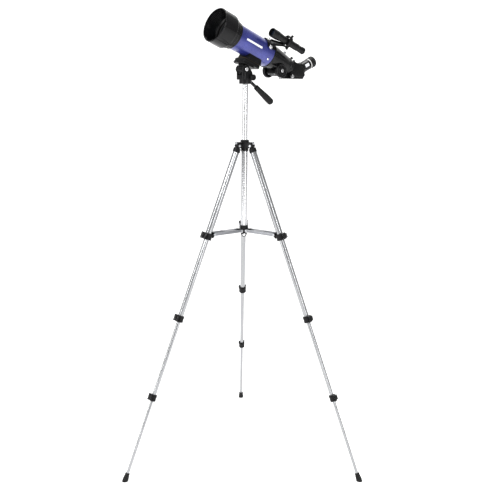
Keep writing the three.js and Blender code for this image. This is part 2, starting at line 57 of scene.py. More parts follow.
TUBES = [  # radius, bore, top, end along the leg
    (8.45, 7.25, 2.0, 242.8),
    (6.85, 5.75, 213.0, 469.5),
    (5.2, 4.4, 440.0, 688.2),
    (4.0, 3.2, 658.0, 905.0),
]
LOCK_WALL = 3.5
LOCK_HALF = 8.5
LEVER_HALF = 6.0
SECTIONS = ["upper", "second", "third", "fourth"]
HUB_R, HUB_Z = 12.5, 638.5
STRUT_IN, STRUT_OUT, STRUT_HALF, STRUT_LEN = 10.6, 12.1, 3.65, 85.5
HEAD_AZIMUTH = math.radians(39)
TELESCOPE_Z = 1122.0
ELEVATION = math.radians(21)
TILT_H, TILT_Z = 10.0, 1056.0
TUBE_R = 32.5
PINION_S, PINION_T = -118, -27  # along the tube, and below its axis

# ---------- frames ----------
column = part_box("center_column")
AXIS_X = (column[0][0] + column[1][0]) / 2
AXIS_Y = (column[0][1] + column[1][1]) / 2
TRIPOD = Matrix.Translation((AXIS_X, AXIS_Y, 0)) @ Matrix.Scale(MM, 4)


def turn(axis, degrees):
    return Matrix.Rotation(math.radians(degrees), 4, axis)


def shift(x, y, z):
    return Matrix.Translation((x, y, z))


def leg_frame(azimuth):
    """X outward from the tripod axis, Z down the leg."""
    a = math.radians(azimuth)
    down = Vector((math.sin(SPLAY) * math.cos(a), math.sin(SPLAY) * math.sin(a), -math.cos(SPLAY)))
    out = Vector((math.cos(SPLAY) * math.cos(a), math.cos(SPLAY) * math.sin(a), math.sin(SPLAY)))
    side = down.cross(out)
    rot = Matrix((out, side, down)).transposed().to_4x4()
    return TRIPOD @ shift(LEG_HEAD_R * math.cos(a), LEG_HEAD_R * math.sin(a), LEG_HEAD_Z) @ rot


def arm_frame(azimuth):
    return TRIPOD @ turn("Z", azimuth)


HEAD = TRIPOD @ Matrix.Rotation(math.pi + HEAD_AZIMUTH, 4, "Z")
SCOPE = HEAD @ shift(0, 0, TELESCOPE_Z) @ Matrix.Rotation(-ELEVATION, 4, "Y")
ALONG_X = turn("Y", 90)  # a solid drawn about Z, laid along +X
ALONG_Y = turn("X", -90)
ALONG_NEG_Y = turn("X", 90)
EYE = SCOPE @ shift(-199.9, 0, 11) @ turn("Y", -45)
FINDER = SCOPE @ turn("X", -45) @ shift(0, 0, 60)


# ---------- materials ----------
def shader(name, color, rough, metal=0.0, **extra):
    """A Principled material with its node tree and texture coordinates."""
    m = bpy.data.materials.new(name)
    m.use_nodes = True
    nodes, links = m.node_tree.nodes, m.node_tree.links
    b = nodes["Principled BSDF"]
    b.inputs["Base Color"].default_value = (*color, 1)
    b.inputs["Roughness"].default_value = rough
    b.inputs["Metallic"].default_value = metal
    for key, value in extra.items():
        b.inputs[key.replace("_", " ")].default_value = value
    coord = nodes.new("ShaderNodeTexCoord")
    return m, nodes, links, b, coord


def stretched(nodes, links, coord, scale):
    mapping = nodes.new("ShaderNodeMapping")
    mapping.inputs["Scale"].default_value = scale
    links.new(coord.outputs["Object"], mapping.inputs["Vector"])
    return mapping


def noise(nodes, links, source, scale, detail=4.0, rough=0.55):
    n = nodes.new("ShaderNodeTexNoise")
    n.inputs["Scale"].default_value = scale
    n.inputs["Detail"].default_value = detail
    n.inputs["Roughness"].default_value = rough
    links.new(source, n.inputs["Vector"])
    return n


def spread(nodes, links, source, low, high):
    """A grey texture remapped to the span low..high."""
    r = nodes.new("ShaderNodeMapRange")
    r.inputs["From Min"].default_value = 0.3
    r.inputs["From Max"].default_value = 0.7
    r.inputs["To Min"].default_value = low
    r.inputs["To Max"].default_value = high
    links.new(source, r.inputs["Value"])
    return r.outputs["Result"]


def tinted(nodes, links, source, dark, light):
    mix = nodes.new("ShaderNodeMix")
    mix.data_type = "RGBA"
    mix.inputs[6].default_value = (*dark, 1)
    mix.inputs[7].default_value = (*light, 1)
    links.new(spread(nodes, links, source, 0, 1), mix.inputs[0])
    return mix.outputs[2]


def bumped(nodes, links, source, b, strength, distance):
    bump = nodes.new("ShaderNodeBump")
    bump.inputs["Strength"].default_value = strength
    bump.inputs["Distance"].default_value = distance
    links.new(source, bump.inputs["Height"])
    links.new(bump.outputs["Normal"], b.inputs["Normal"])


def aluminium(name, color, rough):
    """Satin anodised tube: fine lines along the draw direction and faint handling marks."""
    m, nodes, links, b, coord = shader(name, color, rough, 0.92, Anisotropic=0.35)
    lines = noise(nodes, links, stretched(nodes, links, coord, (900, 900, 4)).outputs["Vector"], 1.0, 3)
    marks = noise(nodes, links, stretched(nodes, links, coord, (30, 30, 9)).outputs["Vector"], 1.0, 5)
    links.new(
        tinted(nodes, links, marks.outputs["Fac"], [c * 0.96 for c in color], [c * 1.03 for c in color]),
        b.inputs["Base Color"]
    )
    links.new(spread(nodes, links, marks.outputs["Fac"], rough - 0.02, rough + 0.03), b.inputs["Roughness"])
    bumped(nodes, links, lines.outputs["Fac"], b, 0.06, 0.00005)
    return m


def plastic(name, color, rough, grain, strength, **extra):
    """Moulded plastic: a fine spark-eroded grain, handled patches and a little dust."""
    m, nodes, links, b, coord = shader(name, color, rough, 0.0, **extra)
    src = coord.outputs["Object"]
    skin = noise(nodes, links, src, grain, 3)
    patches = noise(nodes, links, src, 45, 5)
    light = [c * 1.4 + 0.001 for c in color]
    links.new(tinted(nodes, links, patches.outputs["Fac"], color, light), b.inputs["Base Color"])
    links.new(spread(nodes, links, patches.outputs["Fac"], rough - 0.05, rough + 0.07), b.inputs["Roughness"])
    bumped(nodes, links, skin.outputs["Fac"], b, strength, 0.0001)
    return m


def blue_paint():
    """Metallic blue lacquer: fine flake under a clear coat."""
    m, nodes, links, b, coord = shader("tube_blue", (0.03, 0.036, 0.27), 0.3, 0.45)
    b.inputs["Coat Weight"].default_value = 0.8
    b.inputs["Coat Roughness"].default_value = 0.09
    flake = nodes.new("ShaderNodeTexVoronoi")
    flake.inputs["Scale"].default_value = 2600
    links.new(coord.outputs["Object"], flake.inputs["Vector"])
    cloud = noise(nodes, links, coord.outputs["Object"], 26, 5)
    base = tinted(nodes, links, cloud.outputs["Fac"], (0.02, 0.026, 0.18), (0.034, 0.042, 0.27))
    links.new(base, b.inputs["Base Color"])
    links.new(spread(nodes, links, flake.outputs["Distance"], 0.27, 0.36), b.inputs["Roughness"])
    bumped(
        nodes, links, noise(nodes, links, coord.outputs["Object"], 300, 2).outputs["Fac"], b, 0.05, 0.00008
    )
    return m


def steel(name, color, rough):
    """Bright plated metal with turning marks."""
    m, nodes, links, b, coord = shader(name, color, rough, 1.0)
    n = noise(nodes, links, coord.outputs["Object"], 700, 4)
    links.new(spread(nodes, links, n.outputs["Fac"], rough - 0.05, rough + 0.1), b.inputs["Roughness"])
    links.new(
        tinted(nodes, links, n.outputs["Fac"], [c * 0.86 for c in color], color), b.inputs["Base Color"]
    )
    return m


def coated_glass():
    """Lens glass with a faint green-violet coating over a dark tube."""
    m, nodes, links, b, coord = shader("lens_glass", (0.012, 0.03, 0.034), 0.03)
    b.inputs["Coat Weight"].default_value = 1.0
    b.inputs["Coat Tint"].default_value = (0.75, 0.9, 1.0, 1)
    b.inputs["IOR"].default_value = 1.55
    tint = noise(nodes, links, coord.outputs["Object"], 18, 2)
    links.new(
        tinted(nodes, links, tint.outputs["Fac"], (0.008, 0.024, 0.03), (0.03, 0.02, 0.045)),
        b.inputs["Base Color"]
    )
    return m


def vial_green():
    m, nodes, links, b, coord = shader("vial_green", (0.12, 0.62, 0.2), 0.08)
    b.inputs["Transmission Weight"].default_value = 0.25
    b.inputs["Coat Weight"].default_value = 1.0
    n = noise(nodes, links, coord.outputs["Object"], 220, 2)
    links.new(
        tinted(nodes, links, n.outputs["Fac"], (0.05, 0.45, 0.13), (0.3, 0.8, 0.3)), b.inputs["Base Color"]
    )
    return m


def printed(name, color):
    """Printed ink or label stock, very slightly uneven."""
    m, nodes, links, b, coord = shader(name, color, 0.42)
    n = noise(nodes, links, coord.outputs["Object"], 400, 3)
    links.new(
        tinted(nodes, links, n.outputs["Fac"], [c * 0.94 for c in color], color), b.inputs["Base Color"]
    )
    return m


ALUMINIUM = aluminium("leg_aluminium", (0.37, 0.375, 0.385), 0.25)
BRIGHT_TUBE = aluminium("column_aluminium", (0.66, 0.665, 0.68), 0.24)
STRUT_METAL = aluminium("strut_metal", (0.24, 0.245, 0.26), 0.4)
BLACK = plastic("black_grained", (0.004, 0.004, 0.0045), 0.4, 2600, 0.3, Specular_IOR_Level=0.16)
SHELL = plastic("black_head_shell", (0.004, 0.004, 0.0045), 0.3, 1900, 0.2, Specular_IOR_Level=0.16)
GLOSS = plastic(
    "black_gloss", (0.003, 0.003, 0.0035), 0.2, 420, 0.04, Specular_IOR_Level=0.16, Coat_Weight=0.2,
    Coat_Roughness=0.05
)
SATIN = plastic("black_satin", (0.0035, 0.0035, 0.004), 0.26, 1500, 0.12, Specular_IOR_Level=0.2)
BAFFLE = plastic("black_baffle", (0.004, 0.004, 0.004), 0.55, 1200, 0.3, Specular_IOR_Level=0.25)
RUBBER = plastic("rubber_black", (0.006, 0.006, 0.006), 0.55, 1400, 0.4, Specular_IOR_Level=0.2)
CORK = plastic("cork_pad", (0.035, 0.022, 0.008), 0.8, 700, 0.8, Specular_IOR_Level=0.2)
BLUE = blue_paint()
STEEL = steel("bright_steel", (0.78, 0.78, 0.79), 0.2)
GREY_STEEL = steel("grey_steel", (0.5, 0.51, 0.53), 0.34)
GLASS = coated_glass()
VIAL = vial_green()
WHITE = printed("print_white", (0.86, 0.87, 0.9))
RING_WHITE = printed("ring_white", (0.8, 0.8, 0.78))


# ---------- meshes ----------
def finished(name, bm, matrix, material, body, smooth=32):
    """A mesh from bmesh, placed, shaded and riding on its body."""
    bmesh.ops.remove_doubles(bm, verts=bm.verts, dist=1e-5)
    bmesh.ops.recalc_face_normals(bm, faces=bm.faces)
    mesh = bpy.data.meshes.new(name)
    bm.to_mesh(mesh)
    bm.free()
    mesh.transform(Matrix.Scale(MM, 4))
    mesh.shade_smooth()
    mesh.set_sharp_from_angle(angle=math.radians(smooth))
    obj = bpy.data.objects.new(name, mesh)
    bpy.context.collection.objects.link(obj)
    mesh.materials.append(material)
    obj.matrix_world = matrix @ Matrix.Scale(1 / MM, 4)
    if body:
        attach(obj, body)
    return obj


def fillet(profile, radius, steps=3):
    """The profile with its inner corners rounded, for a soft moulded or turned edge."""
    out = []
    n = len(profile)
    closed = profile[0][0] > 0
    for i, p in enumerate(profile):
        if not closed and i in (0, n - 1):
            out.append(p)
            continue
        a, b, c = Vector(profile[i - 1]), Vector(p), Vector(profile[(i + 1) % n])
        ab, cb = a - b, c - b
        if ab.length < 1e-6 or cb.length < 1e-6 or ab.angle(cb) > math.radians(165) or b.x < 1e-6:
            out.append(p)
            continue
        d = min(radius, ab.length * 0.45, cb.length * 0.45)
        p0, p1 = b + ab.normalized() * d, b + cb.normalized() * d
        for k in range(steps + 1):
            t = k / steps
            q = p0 * (1 - t) ** 2 + b * (2 * t * (1 - t)) + p1 * t**2
            out.append((q.x, q.y))
    return out


def spun(bm, profile, segments=96, local=None):
    """Adds a [radius, height] profile turned about Z."""
    closed = profile[0][0] > 0
    rings = []
    for r, z in profile:
        if r < 1e-6:
            rings.append([bm.verts.new((0, 0, z))])
        else:
            rings.append(
                [
                    bm.verts.new(
                        (
                            r * math.cos(2 * math.pi * k / segments),
                            r * math.sin(2 * math.pi * k / segments), z
                        )
                    )
                    for k in range(segments)
                ]
            )
    pairs = list(zip(rings, rings[1:]))
    if closed:
        pairs.append((rings[-1], rings[0]))
    for a, b in pairs:
        for k in range(segments):
            j = (k + 1) % segments
            if len(a) == 1 and len(b) == 1:
                continue
            if len(a) == 1:
                bm.faces.new((a[0], b[k], b[j]))
            elif len(b) == 1:
                bm.faces.new((a[k], b[0], a[j]))
            else:
                bm.faces.new((a[k], b[k], b[j], a[j]))
    if local is not None:
        bmesh.ops.transform(bm, matrix=local, verts=[v for ring in rings for v in ring])


def lathe(name, profile, matrix, material, body, segments=96, soft=0.5, smooth=32):
    bm = bmesh.new()
    spun(bm, fillet(profile, soft) if soft else profile, segments)
    return finished(name, bm, matrix, material, body, smooth)


def prism(bm, outline, z0, z1, local=None):
    low = [bm.verts.new((x, y, z0)) for x, y in outline]
    high = [bm.verts.new((x, y, z1)) for x, y in outline]
    n = len(outline)
    bm.faces.new(low[::-1])
    bm.faces.new(high)
    for k in range(n):
        j = (k + 1) % n
        bm.faces.new((low[k], low[j], high[j], high[k]))
    if local is not None:
        bmesh.ops.transform(bm, matrix=local, verts=low + high)


def arc(cx, cy, r, start, stop, steps=12):
    return [
        (
            cx + r * math.cos(math.radians(start + (stop - start) * k / steps)),
            cy + r * math.sin(math.radians(start + (stop - start) * k / steps))
        )
        for k in range(steps + 1)
    ]


def curved_sheet(radii, span, angles, rows, columns, place):
    """A closed strip between two radii; place(radius, angle, distance) gives a point of it."""
    bm = bmesh.new()
    grid = {}
    for layer, r in enumerate(radii):
        for i in range(rows + 1):
            for j in range(columns + 1):
                a = math.radians(angles[0] + (angles[1] - angles[0]) * j / columns)
                along = span[0] + (span[1] - span[0]) * i / rows
                grid[layer, i, j] = bm.verts.new(place(r, a, along))

    def quad(*keys):
        bm.faces.new([grid[key] for key in keys])

    for i in range(rows):
        for j in range(columns):
            quad((1, i, j), (1, i + 1, j), (1, i + 1, j + 1), (1, i, j + 1))
            quad((0, i, j), (0, i, j + 1), (0, i + 1, j + 1), (0, i + 1, j))
    for i in range(rows):
        for j in (0, columns):
            quad((0, i, j), (0, i + 1, j), (1, i + 1, j), (1, i, j))
    for j in range(columns):
        for i in (0, rows):
            quad((0, i, j), (1, i, j), (1, i, j + 1), (0, i, j + 1))
    return bm


def on_tube(radius, angle, along):
    """A point round the main tube; the angle is from straight up, positive to the right."""
    return along, -radius * math.sin(angle), radius * math.cos(angle)


def on_eyepiece(radius, angle, along):
    return radius * math.cos(angle), radius * math.sin(angle), along


def applied(obj):
    """The object's modifiers made part of its mesh."""
    graph = bpy.context.evaluated_depsgraph_get()
    made = bpy.data.meshes.new_from_object(obj.evaluated_get(graph))
    obj.modifiers.clear()
    obj.data = made
    made.shade_smooth()
    made.set_sharp_from_angle(angle=math.radians(35))
    return obj


def rounded(obj, width, segments=3, angle=30):
    bevel = obj.modifiers.new("edges", "BEVEL")
    bevel.width = width * MM
    bevel.segments = segments
    bevel.limit_method = "ANGLE"
    bevel.angle_limit = math.radians(angle)
    bevel.harden_normals = False
    return applied(obj)


def carved(obj, builders, matrix, mode="DIFFERENCE"):
    """Cuts, or joins, solids drawn by the builders into the object."""
    for build in builders:
        bm = bmesh.new()
        build(bm)
        bmesh.ops.recalc_face_normals(bm, faces=bm.faces)
        tool = finished("tool", bm, matrix, obj.data.materials[0], None)
        bpy.context.view_layer.update()
        boolean = obj.modifiers.new("cut", "BOOLEAN")
        boolean.operation = mode
        boolean.solver = "EXACT"
        boolean.object = tool
        applied(obj)
        bpy.data.objects.remove(tool)
    return obj


def solid(name, outline, z0, z1, matrix, material, body, edge=0.6, local=None):
    bm = bmesh.new()
    prism(bm, outline, z0, z1, local)
    obj = finished(name, bm, matrix, material, body)
    return rounded(obj, edge) if edge else obj


def block(x0, x1, y0, y1):
    return [(x0, y0), (x1, y0), (x1, y1), (x0, y1)]


XZ = turn("X", 90)  # an outline of (x, z), raised along -Y


# ---------- legs ----------
def tube_profile(r, bore, z0, z1):
    return [(bore, z0), (r, z0), (r, z1), (bore, z1)]


def leg_cap(n, at, body):
    shell = [
        (0, 0.9), (9.0, 0.9), (9.8, 2.2), (9.8, 3.2), (9.45, 3.5), (9.45, 4.3), (9.8, 4.6), (9.8, 5.6),
        (9.45, 5.9), (9.45, 6.7), (9.8, 7.0), (9.8, 11.2), (9.3, 12), (8.6, 12), (8.6, 1.7), (0, 1.7)
    ]
    cap = lathe(f"leg{n}_cap_shell", shell, at, BLACK, body, 72, 0.25)
    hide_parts(f"leg{n}_cap")
    outline = [(5, 1.5), (5, PIVOT_S), *arc(0, PIVOT_S, 5, 0, -180, 16)[1:], (-5, 1.5)]
    tongue = solid(f"leg{n}_cap_tongue", outline, -4.8, 4.8, at, BLACK, body, 0.7, XZ)


def lock_radius(k):
    return TUBES[k][0] + LOCK_WALL


def lever_pin(k):
    return lock_radius(k) + 1, lock_radius(k) - 2.5


def lock_collar(n, k, at, body):
    """A moulded clamp ring with a split front block and two ears for the lever's pin."""
    R, s = lock_radius(k), TUBES[k][3]
    r_up, r_low = TUBES[k][0] + 0.12, TUBES[k + 1][0] + 0.12
    ring = [
        (r_up, s - LOCK_HALF), (R - 0.5, s - LOCK_HALF), (R, s - LOCK_HALF + 0.6), (R, s - 2.4),
        (R - 0.5, s - 2.0), (R - 0.5, s + 2.0), (R, s + 2.4), (R, s + LOCK_HALF - 0.6),
        (R - 0.5, s + LOCK_HALF), (r_low, s + LOCK_HALF), (r_low, s + 0.6), (r_up, s + 0.6)
    ]
    collar = lathe(f"leg{n}_lock{k + 1}_ring", ring, at, BLACK, body, 72, 0.3)
    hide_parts(f"leg{n}_lock{k + 1}")
    clamp = [
        (r_up * 0.9, 5 - R), (R + 0.8, 5 - R), (R + 0.8, -0.5), (R - 1.2, -0.5), (R - 1.2, 0.5),
        (R + 0.8, 0.5), (R + 0.8, R - 5), (r_up * 0.9, R - 5)
    ]
    face = solid(f"leg{n}_lock{k + 1}_clamp", clamp, s - LOCK_HALF, s + LOCK_HALF, at, BLACK, body, 0.5)
    pu, pv = lever_pin(k)
    for side, label in ((-1, "upper"), (1, "lower")):
        z = s + side * (LOCK_HALF - 1.1)
        tip = [
            (pu + 2.9 * math.cos(math.radians(a)), pv + 2.9 * math.sin(math.radians(a)))
            for a in range(-60, 121, 15)
        ]
        ear = [(4, R - 4.4), (R - 2, 2), *tip, (R - 3.5, R + 0.2), (5, R - 2)]
        piece = solid(f"leg{n}_lock{k + 1}_ear_{label}", ear, z - 1.1, z + 1.1, at, BLACK, body, 0.45)
    pin = lathe(
        f"leg{n}_lock{k + 1}_pin",
        [
            (0, s - LOCK_HALF - 0.35), (1.1, s - LOCK_HALF - 0.3), (1.5, s - LOCK_HALF + 0.1),
            (1.5, s + LOCK_HALF - 0.1), (1.1, s + LOCK_HALF + 0.3), (0, s + LOCK_HALF + 0.35)
        ],
        at @ shift(pu, pv, 0), GREY_STEEL, body, 24, 0
    )
    if k == 0:
        lug = [
            (-9.0, 228), (-15.4, 228), (-16.5, 229.2), (-16.5, 234.8), (-15.4, 236), (-13, 243), (-9.0, 243)
        ]
        piece = solid(f"leg{n}_lug", lug, -8.9, 8.9, at, BLACK, body, 0.8, XZ)
        rivet = [(0, -10.3), (1.6, -10.3), (1.6, 10.3), (0, 10.3)]
        piece = lathe(f"leg{n}_lug_pin", rivet, at @ shift(-13, 0, 232) @ ALONG_Y, GREY_STEEL, body, 24, 0.2)


def lock_lever(n, k, at, body):
    """A curved flip lever with a lifting tip."""
    R, s = lock_radius(k), TUBES[k][3]
    pu, pv = lever_pin(k)
    outer = [
        (pu + 2.4 * math.cos(math.radians(a)), pv + 2.4 * math.sin(math.radians(a)))
        for a in range(100, -31, -13)
    ]
    sweep = [(R + 4.4 - 0.012 * (v * v), v) for v in (0.35 * R, 0.1 * R, -0.2 * R, -0.5 * R)]
    tip = [
        (R + 2.4, -R + 1.2), (R - 0.2, -R - 1.7), (R - 1.5, -R - 0.7), (R + 1.3, -R + 3), (R + 1.5, 0),
        (pu - 1.2, pv - 2.1)
    ]
    lever = solid(
        f"leg{n}_lever{k + 1}_plate", outer + sweep + tip, s - LEVER_HALF, s + LEVER_HALF, at, SATIN, body,
        0.7
    )
    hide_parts(f"leg{n}_lever{k + 1}")


def foot(n, at, body):
    """A moulded rubber foot with grip rings, cut flat where it stands."""
    s = LEG_LENGTH
    bore = TUBES[3][0] + 0.15
    grips = [
        (5.6, -22), (6.1, -21), (6.3, -17), (5.9, -16.4), (5.9, -15.6), (6.6, -15), (6.8, -11.5),
        (6.4, -11), (6.4, -10.2), (7.1, -9.6), (7.5, -4), (7.6, 6)
    ]
    wall = [(0, -12), (bore, -12), (bore, -22), *grips, (0, 6)]
    bm = bmesh.new()
    spun(bm, [(r, s + z) for r, z in wall], 72)
    floor = at.inverted()
    origin, normal = floor @ Vector((0, 0, 0)), (floor.to_3x3() @ Vector((0, 0, -1))).normalized()
    cut = bmesh.ops.bisect_plane(
        bm, geom=bm.verts[:] + bm.edges[:] + bm.faces[:], plane_co=origin, plane_no=normal, clear_outer=True
    )
    rim = [e for e in cut["geom_cut"] if isinstance(e, bmesh.types.BMEdge)]
    bmesh.ops.contextual_create(bm, geom=rim)
    bmesh.ops.transform(bm, matrix=TRIPOD.inverted() @ at, verts=bm.verts)
    piece = finished(f"leg{n}_foot_rubber", bm, TRIPOD, RUBBER, body)
    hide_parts(f"leg{n}_foot")


def strut(n, azimuth):
    """A folded sheet-metal channel with a rivet at each end."""
    a = math.radians(azimuth)
    lug_r = LEG_HEAD_R + 232 * math.sin(SPLAY) - 13 * math.cos(SPLAY)
    lug_z = LEG_HEAD_Z - 232 * math.cos(SPLAY) - 13 * math.sin(SPLAY)
    dip = math.atan2(HUB_Z - lug_z, lug_r - HUB_R)
    at = arm_frame(azimuth) @ shift(HUB_R, 0, HUB_Z) @ Matrix.Rotation(dip, 4, "Y")
    body = f"strut{n}"
    ends = arc(STRUT_LEN - STRUT_HALF, 0, STRUT_HALF, -90, 90, 12)
    arm = [(0, -STRUT_HALF), *ends, *arc(0, 0, STRUT_HALF, 90, 270, 16)[:-1]]
    for side, label in ((-1, "right"), (1, "left")):
        y0, y1 = sorted((side * STRUT_IN, side * STRUT_OUT))
        piece = solid(f"brace{n}_side_{label}", arm, y0, y1, at, STRUT_METAL, body, 0.35, XZ)
        if side < 0:
            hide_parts(f"brace{n}")
        for x in (0.0, 81.6):
            head = lathe(
                f"brace{n}_rivet_{label}_{int(x)}", [(0, 0), (2.5, 0), (2.5, 0.35), (1.9, 0.9), (0, 1.15)],
                at @ shift(x, side * (STRUT_OUT - 0.05), 0) @ (ALONG_Y if side > 0 else ALONG_NEG_Y),
                GREY_STEEL, body, 32, 0
            )
    web = solid(
        f"brace{n}_web", block(16, 50, -STRUT_OUT + 0.6, STRUT_OUT - 0.6), STRUT_HALF - 1.5, STRUT_HALF, at,
        STRUT_METAL, body, 0.5
    )


def leg(n, azimuth):
    at = leg_frame(azimuth)
    leg_cap(n, at, f"leg{n}_upper")
    for k, (r, bore, top, end) in enumerate(TUBES):
        body = f"leg{n}_{SECTIONS[k]}"
        tube = lathe(
            f"leg{n}_tube{k + 1}_wall", tube_profile(r, bore, top, end), at, ALUMINIUM, body, 72, 0.15
        )
        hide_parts(f"leg{n}_tube{k + 1}")
        if k < 3:
            lock_collar(n, k, at, body)
            lock_lever(n, k, at, f"leg{n}_flip{k + 1}")
    foot(n, at, f"leg{n}_fourth")
    strut(n, azimuth)


# ---------- the tripod's middle ----------
def spider():
    bm = bmesh.new()
    spun(
        bm,
        [
            (7.35, 848.8), (9.1, 848.8), (9.5, 849.3), (9.5, 856.3), (11.6, 856.3), (12, 856.8),
            (12, 871.5), (11.5, 872), (9.3, 872), (9.3, 875), (7.35, 875)
        ],
        96
    )
    hub = finished("spider_hub", bm, TRIPOD, SHELL, "tripod_center")
    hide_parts("spider")
    for n, azimuth in LEG_AZIMUTHS.items():
        at = arm_frame(azimuth)
        cheek = [
            (9, 856.5), (PIVOT_R, 856.5), *arc(PIVOT_R, PIVOT_Z, 6.1, -90, 40, 12), (PIVOT_R + 4.4, 869),
            (PIVOT_R + 4.4, 871.9), (9, 871.9)
        ]
        for side, label in ((-1, "a"), (1, "b")):
            y0, y1 = sorted((side * 5.2, side * 8.5))
            piece = solid(f"spider_fork{n}{label}", cheek, y0, y1, at, SHELL, "tripod_center", 0.7, XZ)
            head = lathe(
                f"spider_pivot{n}{label}",
                [(0, 0), (3.3, 0), (3.3, 0.9), (2.6, 1.5), (1.2, 1.6), (0.9, 1.0), (0, 1.0)],
                at @ shift(PIVOT_R, side * 8.4, PIVOT_Z) @ (ALONG_Y if side > 0 else ALONG_NEG_Y),
                GREY_STEEL, "tripod_center", 32, 0
            )
        bridge = solid(
            f"spider_bridge{n}", block(9, PIVOT_R + 4.4, -8.5, 8.5), 868.6, 872, at, SHELL, "tripod_center",
            0.8
        )
        bolt = lathe(
            f"spider_bolt{n}",
            [(0, 0), (4.2, 0), (4.2, 2.4), (3.6, 3.4), (2.2, 4.0), (1.6, 4.0), (1.4, 3.0), (0, 3.0)],
            at @ shift(PIVOT_R + 4, 0, 870) @ ALONG_X, GREY_STEEL, "tripod_center", 40, 0.3
        )


def middle():
    guide = lathe(
        "guide_tube_wall", tube_profile(8.25, 7.55, 629, 856), TRIPOD, BRIGHT_TUBE, "tripod_center", 96, 0.1
    )
    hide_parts("guide_tube")
    plug = lathe(
        "guide_plug",
        [
            (0, 631), (8.45, 631), (8.45, 627.4), (7.8, 626.4), (4.6, 626), (4.6, 621.9), (4.2, 621.5),
            (0, 621.5)
        ],
        TRIPOD, BLACK, "tripod_center", 72, 0.3
    )
    rim = lathe(
        "guide_boss_rim", [(0, 3), (6.5, 3), (6.5, 9.3), (5.9, 9.9), (5.0, 9.9), (4.7, 8.8), (0, 8.8)],
        TRIPOD @ shift(0, 0, 627.75) @ ALONG_NEG_Y, BLACK, "tripod_center", 64, 0.3
    )
    cap = lathe(
        "guide_boss_cap", [(0, 8.7), (4.5, 8.7), (4.4, 9.7), (3.4, 10.6), (1.8, 11.0), (0, 11.1)],
        TRIPOD @ shift(0, 0, 627.75) @ ALONG_NEG_Y, STEEL, "tripod_center", 64, 0.3
    )
    hub = lathe(
        "brace_hub_ring",
        [
            (8.5, 634.6), (12.6, 634.6), (13, 635.1), (13, 636.6), (11.7, 642.6), (11.2, 643.2),
            (11.2, 644.4), (10.8, 645), (10.6, 650.6), (10.1, 651.5), (8.5, 651.5)
        ],
        TRIPOD, BLACK, "hub", 96, 0.3
    )
    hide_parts("brace_hub")
    for n, azimuth in LEG_AZIMUTHS.items():
        at = arm_frame(azimuth)
        ear = [(9, 634.8), (15.3, 634.8), (15.4, 641), (13.4, 642.4), (9, 642.4)]
        piece = solid(f"brace_hub_ear{n}", ear, -9, 9, at, BLACK, "hub", 0.8, XZ)
        pin = lathe(
            f"brace_hub_pin{n}", [(0, -12.2), (1.6, -12.2), (1.6, 12.2), (0, 12.2)],
            at @ shift(HUB_R, 0, HUB_Z) @ ALONG_Y, GREY_STEEL, "hub", 24, 0.2
        )
    post = lathe(
        "center_column_wall",
        [
            (6, 835), (7.2, 835), (7.2, 1019.3), (5, 1019.3), (5, 1021.9), (4.2, 1021.9), (4.2, 1014),
            (6, 1014)
        ],
        TRIPOD, BRIGHT_TUBE, "column", 96, 0.12
    )
    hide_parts("center_column")
    grip = [
        (7.35, 877.3), (10.5, 877.3), (11.3, 876.5), (11.3, 873), (10.9, 872.3), (9.6, 872.3), (9.6, 875.3),
        (7.35, 875.3)
    ]
    bm = bmesh.new()
    spun(bm, fillet(grip, 0.3), 144)
    for v in bm.verts:
        r = math.hypot(v.co.x, v.co.y)
        if r > 10.8 and 873.2 < v.co.z < 876.4:
            scale = 1 - 0.035 * (1 + math.cos(24 * math.atan2(v.co.y, v.co.x))) / 2
            v.co.x *= scale
            v.co.y *= scale
    collar = finished("column_collar_ring", bm, TRIPOD, BLACK, "collar")
    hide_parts("column_collar")


